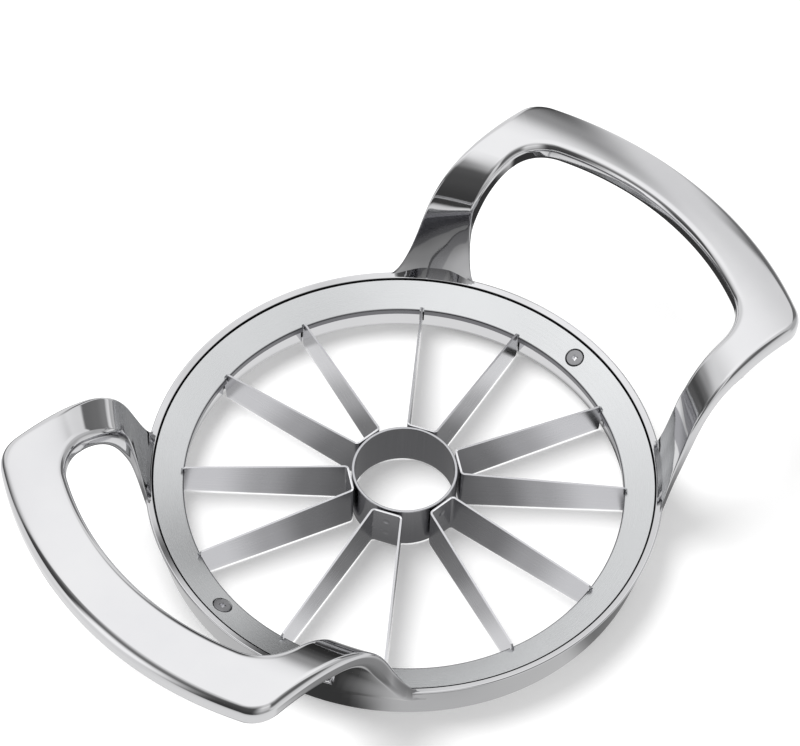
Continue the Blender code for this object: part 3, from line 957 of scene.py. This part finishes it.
def grain_roughness(tree, grain, low, high):
    """Roughness that runs from low to high with the grain."""
    return between(tree, grain, *grain_span, low, high)


grain_span = (0.3, 0.7)
casting_relief = 0.00003
ring_relief = 0.000004
steel_relief = 0.000003
# Near-black colour for the groove inside the rim: painted shade.
groove_painted_shade_colour = (0.06, 0.06, 0.065)
groove_reach = (0.00003, 0.00009)
groove_drop = (0.0002, 0.0001)
# Near-black colour on the clamp ring's inner lip: a painted dark reflection.
lip_painted_reflection_colour = (0.16, 0.16, 0.17)
lip_painted_reflection_reach = (0.00018, 0.00042)
# Light colour on the strips' convex edges: a painted highlight.
edge_highlight_colour = (0.78, 0.78, 0.80)
# Near-white colour inside the screw's cross recess: a painted glint.
recess_glint_colour = (0.86, 0.86, 0.88)
recess_reach = (0.0014, 0.0016)
recess_drop = (0.00012, 0.00004)


def polished_casting(tree):
    """Bright polished casting: near mirror, with a faint ripple, haze and hairlines, and a groove painted
    dark as its shade and made rougher.
    """
    haze = place_group(tree, "handling_haze", Size=38.0)["Haze"]
    marks = place_group(tree, "hairlines", Fineness=700.0, Amount=0.5)["Marks"]
    place = place_group(tree, "reach_from_axis")
    near, far = (groove_radius + reach for reach in groove_reach)
    low, high = (ledge_height(groove_radius) - drop for drop in groove_drop)
    # The groove inside the rim is painted near black as painted shade, and is made rougher.
    inside = between(tree, place["Radius"], near, far, 1.0, 0.0)
    groove_painted_shade = times(tree, inside, between(tree, place["Height"], low, high))
    plain = mixed_colour(tree, haze, (0.63, 0.63, 0.64), (0.60, 0.60, 0.615))
    rough = plus_part(tree, between(tree, haze, 0.0, 1.0, 0.045, 0.085), marks, 0.1)
    rough = plus_part(tree, rough, groove_painted_shade, 0.4)
    height = plus_part(tree, noise(tree, scaled_place(tree), 55.0, 1.0), marks, -0.08)
    return mixed_colour(tree, groove_painted_shade, plain, groove_painted_shade_colour), rough, height, casting_relief


def satin_ring(tree):
    """Turned steel left satin: fine circles, soft sheen, and a dark reflection painted on the lip round the
    opening.
    """
    grain = place_group(tree, "turned_grain", Fineness=9000.0, Waver=0.02)["Grain"]
    haze = place_group(tree, "handling_haze", Size=60.0)["Haze"]
    # The lip round the opening is painted near black as a painted dark reflection.
    near, far = (clamp_inner_radius + reach for reach in lip_painted_reflection_reach)
    lip = between(tree, place_group(tree, "reach_from_axis")["Radius"], near, far, 1.0, 0.0)
    plain = mixed_colour(tree, grain, (0.60, 0.61, 0.62), (0.68, 0.69, 0.70))
    rough = plus_part(tree, grain_roughness(tree, grain, 0.19, 0.26), haze, 0.04)
    return mixed_colour(tree, lip, plain, lip_painted_reflection_colour), rough, grain, ring_relief


def drawn_tube(tree):
    """Drawn steel tube: grain down its length and a soft polish."""
    grain = noise(tree, scaled_place(tree, (1.0, 1.0, 0.015)), 3500.0, 3.0, 0.6)
    edge = place_group(tree, "bright_edges", Start=0.53, Full=0.62)["Edge"]
    colour = mixed_colour(tree, grain, (0.42, 0.42, 0.44), (0.52, 0.52, 0.54))
    rough = plus_part(tree, grain_roughness(tree, grain, 0.16, 0.24), edge, -0.06)
    return colour, rough, grain, steel_relief


def blade_steel(tree):
    """Rolled and ground strip steel: level grain, with a highlight painted on its convex edges such as the
    rounded upper edge.
    """
    grain = place_group(tree, "rolled_grain", Fineness=6000.0)["Grain"]
    haze = place_group(tree, "handling_haze", Size=80.0)["Haze"]
    edge = place_group(tree, "bright_edges", Start=0.52, Full=0.6)["Edge"]
    plain = mixed_colour(tree, grain, (0.46, 0.46, 0.48), (0.56, 0.56, 0.58))
    rough = plus_part(tree, grain_roughness(tree, grain, 0.17, 0.25), haze, 0.05)
    # Convex edges are painted lighter: a painted highlight.
    return mixed_colour(tree, edge, plain, edge_highlight_colour), rough, grain, steel_relief


def screw_steel(tree):
    """Machined screw steel, darker than the ring, with turned circles on the head and a glint painted near
    white in the recess.
    """
    grain = place_group(tree, "turned_grain", Fineness=15000.0, Waver=0.01)["Grain"]
    place = place_group(tree, "reach_from_axis")
    # The inside of the cross recess is painted near white: a painted glint.
    low, high = (-drop for drop in recess_drop)
    middle = between(tree, place["Radius"], *recess_reach, 1.0, 0.0)
    recess_glint = times(tree, middle, between(tree, place["Height"], low, high, 1.0, 0.0))
    plain = mixed_colour(tree, grain, (0.22, 0.22, 0.23), (0.30, 0.30, 0.31))
    rough = grain_roughness(tree, grain, 0.16, 0.26)
    return mixed_colour(tree, recess_glint, plain, recess_glint_colour), rough, grain, steel_relief


# Floor, light and camera

floor_size = 8.0
floor_gap = 0.00005
floor_colour = (0.80, 0.80, 0.80)
floor_lift = 0.26
ambient = 0.62
key_power = 14.0
key_size = 0.9
key_place = (-0.15, 0.55, 1.05)


def seen_directly(tree):
    """1 for rays from the camera, off a metal or through glass, and 0 for the rays that light things."""
    path = add_node(tree, "ShaderNodeLightPath").outputs
    return sum_up(tree, "MAXIMUM", path["Is Camera Ray"],
                  sum_up(tree, "MAXIMUM", path["Is Glossy Ray"], path["Is Transmission Ray"]))


def make_world():
    world = bpy.data.worlds.new("white_studio")
    bpy.context.scene.world = world
    world.use_nodes = True
    tree = world.node_tree
    ground = tree.nodes["Background"]
    ground.inputs["Color"].default_value = (1.0, 1.0, 1.0, 1.0)
    strength = between(tree, seen_directly(tree), 0.0, 1.0, ambient, 1.0)
    tree.links.new(strength, ground.inputs["Strength"])


def bare_material(name):
    """A material whose nodes are still to be made, and its tree."""
    material = bpy.data.materials.new(name)
    material.use_nodes = True
    material.node_tree.nodes.clear()
    return material, material.node_tree


def make_floor():
    """A white floor that keeps the shadow, and that lets the underside be seen from below."""
    shape = bmesh.new()
    bmesh.ops.create_grid(shape, x_segments=1, y_segments=1, size=floor_size / 2)
    floor = piece_from("floor", shape)
    floor.location = (0.0, 0.0, -floor_gap)
    material, tree = bare_material("white_floor")
    matt = add_node(tree, "ShaderNodeBsdfDiffuse", {"Color": (*floor_colour, 1.0)})
    lift = times(tree, seen_directly(tree), floor_lift)
    glow = add_node(tree, "ShaderNodeEmission", {"Strength": lift})
    both = add_node(tree, "ShaderNodeAddShader", {0: matt.outputs[0], 1: glow.outputs[0]})
    clear = add_node(tree, "ShaderNodeBsdfTransparent")
    below = add_node(tree, "ShaderNodeNewGeometry").outputs["Backfacing"]
    mix = add_node(tree, "ShaderNodeMixShader", {0: below, 1: both.outputs[0], 2: clear.outputs[0]})
    add_node(tree, "ShaderNodeOutputMaterial", {"Surface": mix.outputs[0]})
    floor.data.materials.append(material)


def make_key_light():
    """One round lamp, aimed at the middle of the foot."""
    lamp = set_up(bpy.data.lights.new("key", "AREA"), shape="DISK", size=key_size, energy=key_power)
    key = set_up(add_object("key", lamp), location=key_place, visible_glossy=False)
    key.rotation_mode = "QUATERNION"
    key.rotation_quaternion = (-Vector(key_place)).to_track_quat("-Z", "Y")


def read_off(table, value):
    """The value read off a table of (place, amount) pairs, with a soft run between them."""
    for (low, first), (high, second) in zip(table, table[1:]):
        if value <= high:
            return first + (second - first) * smooth(value, low, high)
    return table[-1][1]


# The tent round the table: a glowing dome that only the metal sees, with a painted reflection, white behind
# and above and with dark flags painted on it. Azimuths are in degrees from +X round to +Y and run from 60 to
# 420.
# Covers are (elevation, share) pairs, and one below zero is a light in place of a flag.
tent_radius = 2.0
first_azimuth = 60.0
# Painted light overhead in the reflection, brighter than white.
overhead_light = ((35, 1), (60, 1.35))
flag_shade = 0.03
slant = (104, 0.35, 14)
slant_split = (126, 134)
slant_end = (148, 158)
slant_outer_cover = ((0, 0.93), (6, 0.85), (16, 0.60), (29, 0.22), (44, 0))
slant_inner_cover = ((2, 0), (9, 0.97), (26, 0.93), (46, 0.75), (56, 0.45), (68, 0.2), (80, 0))
flags = (
    ((148, 158), (168, 188), ((15, -0.4), (20, 0), (26, 0.3), (34, 0.8), (50, 0.75), (60, 0.45), (80, 0))),
    ((168, 188), (215, 240), ((2, 0.97), (36, 0.93), (50, 0.92), (60, 0.75), (72, 0.45), (84, 0))),
    ((215, 240), (254, 264), ((0, 0.55), (10, 0.5), (20, 0.25), (48, 0.1), (60, 0.4), (75, 0.3), (85, 0))),
    ((254, 264), (312, 322), ((0, 0.1), (12, 0.15), (22, 0.6), (34, 0.88), (50, 0.86), (62, 0.7), (85, 0.1))),
    ((312, 322), (348, 358), ((0, 0.4), (20, 0.45), (32, 0.3), (50, 0.25), (85, 0.1))),
    ((348, 358), (380, 386), ((-2, 0.72), (12, 0.8), (29, 0.83), (32, 0))),
    ((390, 396), (402, 410), ((0, 1), (11, 0.99), (18, 0.95), (25, 0.88), (36, 0.6), (50, 0))),
)


def painted_tent_shade(azimuth, elevation):
    """How bright the painted reflection of the tent is in a direction: white behind and above, with dark
    flags painted at the sides.
    """
    azimuth = (azimuth - first_azimuth) % 360.0 + first_azimuth
    white = read_off(overhead_light, elevation)
    start, lean, width = slant
    edge = start + lean * elevation
    outer = (1 - smooth(azimuth, *slant_split)) * read_off(slant_outer_cover, elevation)
    inner = band(azimuth, slant_split, slant_end) * read_off(slant_inner_cover, elevation)
    cover = smooth(azimuth, edge - width / 2, edge + width / 2) * (outer + inner)
    for rise, fall, covers in flags:
        cover += band(azimuth, rise, fall) * read_off(covers, elevation)
    return white + (flag_shade - white) * min(cover, 1.0)


# The floor as the metal shows it: a glowing sheet with painted shadows, dark round the hub, round the foot
# and under the handles. Shades are (radius, brightness) pairs. Sectors give the bearings and the radii
# between which they lie, each edge a soft one, and patches a place and their soft edge.
# Painted shade round the hub, seen only in the metal.
inner_shade = ((0.014, 0.20), (0.024, 0.30), (0.034, 0.62), (0.046, 1.05))
outer_shade = ((0.066, 0.62), (0.100, 1.0))
from_wall = (0, 0.001)
to_edge = (9, 10)
sectors = (
    ((-66, -60), (-52, -48), from_wall, to_edge, 1),
    ((-51, -47), (-41, -36), from_wall, (0.070, 0.090), 0.2),
    ((-154, -146), (-124, -114), (0.065, 0.069), (0.078, 0.088), 0.18),
    ((-92, -82), (-68, -60), from_wall, (0.068, 0.090), 0.2),
    ((92, 100), (117, 125), (0.075, 0.095), to_edge, 0.14),
)
patches = (
    ((-0.042, -0.074), (0.008, 0.026), 0.33),
    ((0.059, 0.061), (0.008, 0.030), 0.60),
    ((0.103, 0.069), (0.014, 0.040), 0.58),
)
# Painted shadow under each handle, seen only in the metal.
under_handle_x = ((0.038, 0.046), (0.086, 0.098))
under_handle_y = (0.035, 0.047)
under_handle_shade = 0.05
beside_wall_bearings = ((146, 156), (190, 200))
beside_wall_reach = (0.072, 0.080)
far_floor = (0.14, 0.5)

# Rows of points of the sheet that shows it, as (start, step, count), and how many go round
sheet_rows = ((0.0, 0.001, 110), (0.11, 0.01, 49))
sheet_far_rows = (0.7, 1.0, 1.5)
sheet_turns = 180


def painted_floor_shade(x, y):
    """How bright the floor is in the metal, with painted shadow: dim round the hub, round the foot and under
    the handles.
    """
    radius = math.hypot(x, y)
    if radius < clamp_inner_radius:
        return read_off(inner_shade, radius)
    bearing = math.degrees(math.atan2(y, x))
    value = read_off(outer_shade, radius)
    for rise, fall, near, far, shade in sectors:
        value += (shade - value) * band(bearing, rise, fall) * band(radius, near, far)
    beside = band(bearing % 360, *beside_wall_bearings) * (1 - smooth(radius, *beside_wall_reach))
    under = band(abs(x), *under_handle_x) * (1 - smooth(abs(y), *under_handle_y)) * (1 - beside)
    value += (under_handle_shade - value) * under
    for place, reach, shade in patches:
        value += (shade - value) * (1 - smooth(math.dist(place, (x, y)), *reach))
    return value + (painted_tent_shade(bearing, 0.0) - value) * smooth(radius, *far_floor)


def painted_reflection_only(piece, shades):
    """A sheet that only the metal sees, and that glows with the painted light and shade given for each of its
    points.
    """
    amounts = piece.data.attributes.new("shade", "FLOAT", "POINT")
    amounts.data.foreach_set("value", shades)
    material, tree = bare_material(piece.name)
    material.cycles.emission_sampling = "NONE"
    shade = add_node(tree, "ShaderNodeAttribute", attribute_name="shade").outputs["Fac"]
    glow = add_node(tree, "ShaderNodeEmission", {"Strength": shade})
    add_node(tree, "ShaderNodeOutputMaterial", {"Surface": glow.outputs[0]})
    piece.data.materials.append(material)
    set_up(piece, visible_camera=False, visible_diffuse=False)
    set_up(piece, visible_shadow=False, visible_volume_scatter=False)


def make_painted_reflection_tent():
    """The tent round the table: a glowing dome that only the metal sees, a painted reflection, with a point
    at every degree.
    """
    points, shades = [], []
    for elevation in range(91):
        for azimuth in range(360):
            e, a = math.radians(elevation), math.radians(azimuth)
            spread = tent_radius * math.cos(e)
            points.append((spread * math.cos(a), spread * math.sin(a), tent_radius * math.sin(e)))
            shades.append(painted_tent_shade(azimuth, elevation))
    painted_reflection_only(piece_of("studio", points, (), ring_faces(91, 360)), shades)


def make_painted_floor_reflection():
    """The floor near the foot, as the metal shows it: a glowing sheet with painted shadows."""
    radii = [start + step * i for start, step, count in sheet_rows for i in range(1, count + 1)]
    radii += [*sheet_far_rows, tent_radius]
    points = [(0.0, 0.0, 0.0)]
    for radius in radii:
        for a in range(sheet_turns):
            angle = 2 * math.pi * a / sheet_turns
            points.append((radius * math.cos(angle), radius * math.sin(angle), 0.0))
    faces = [(0, 1 + a, 1 + (a + 1) % sheet_turns) for a in range(sheet_turns)]
    faces += ring_faces(len(radii), sheet_turns, 1)
    sheet = piece_of("floor_in_the_metal", points, (), faces)
    sheet.location.z = -floor_gap / 2
    painted_reflection_only(sheet, [painted_floor_shade(x, y) for x, y, _ in points])


camera_azimuth = math.radians(-43.676)
camera_elevation = math.radians(52.233)
camera_roll = math.radians(2.718)
camera_distance = 0.7495
camera_target = Vector((0.0253, 0.0297, 0.0))
sensor_width = 36.0
focal_pixels = 3011.638
image_width = 800


def make_camera():
    """The photograph's view: a long lens from the left, in front and above."""
    focal = focal_pixels * sensor_width / image_width
    lens = set_up(bpy.data.cameras.new("camera"), sensor_width=sensor_width, lens=focal)
    camera = add_object("camera", lens)
    turn = Matrix.Rotation(camera_azimuth, 4, "Z") @ Matrix.Rotation(quarter - camera_elevation, 4, "X")
    turn @= Matrix.Rotation(camera_roll, 4, "Z")
    back = Matrix.Translation((0.0, 0.0, camera_distance))
    camera.matrix_world = Matrix.Translation(camera_target) @ turn @ back
    bpy.context.scene.camera = camera


make_casting(metal("polished_casting_finish", polished_casting))
make_clamp_ring(metal("satin_ring_finish", satin_ring, 0.45))
make_core_tube(metal("drawn_tube_finish", drawn_tube, 0.3))
strip_metal = metal("ground_strip_finish", blade_steel)
for number in range(strip_pairs):
    make_slicing_strip(number, strip_metal)
screw_metal = metal("screw_finish", screw_steel)
for number in range(screw_count):
    make_clamp_screw(number, screw_metal)
make_world()
make_floor()
make_painted_reflection_tent()
make_painted_floor_reflection()
make_key_light()
make_camera()
bpy.context.scene.view_settings.view_transform = "Standard"
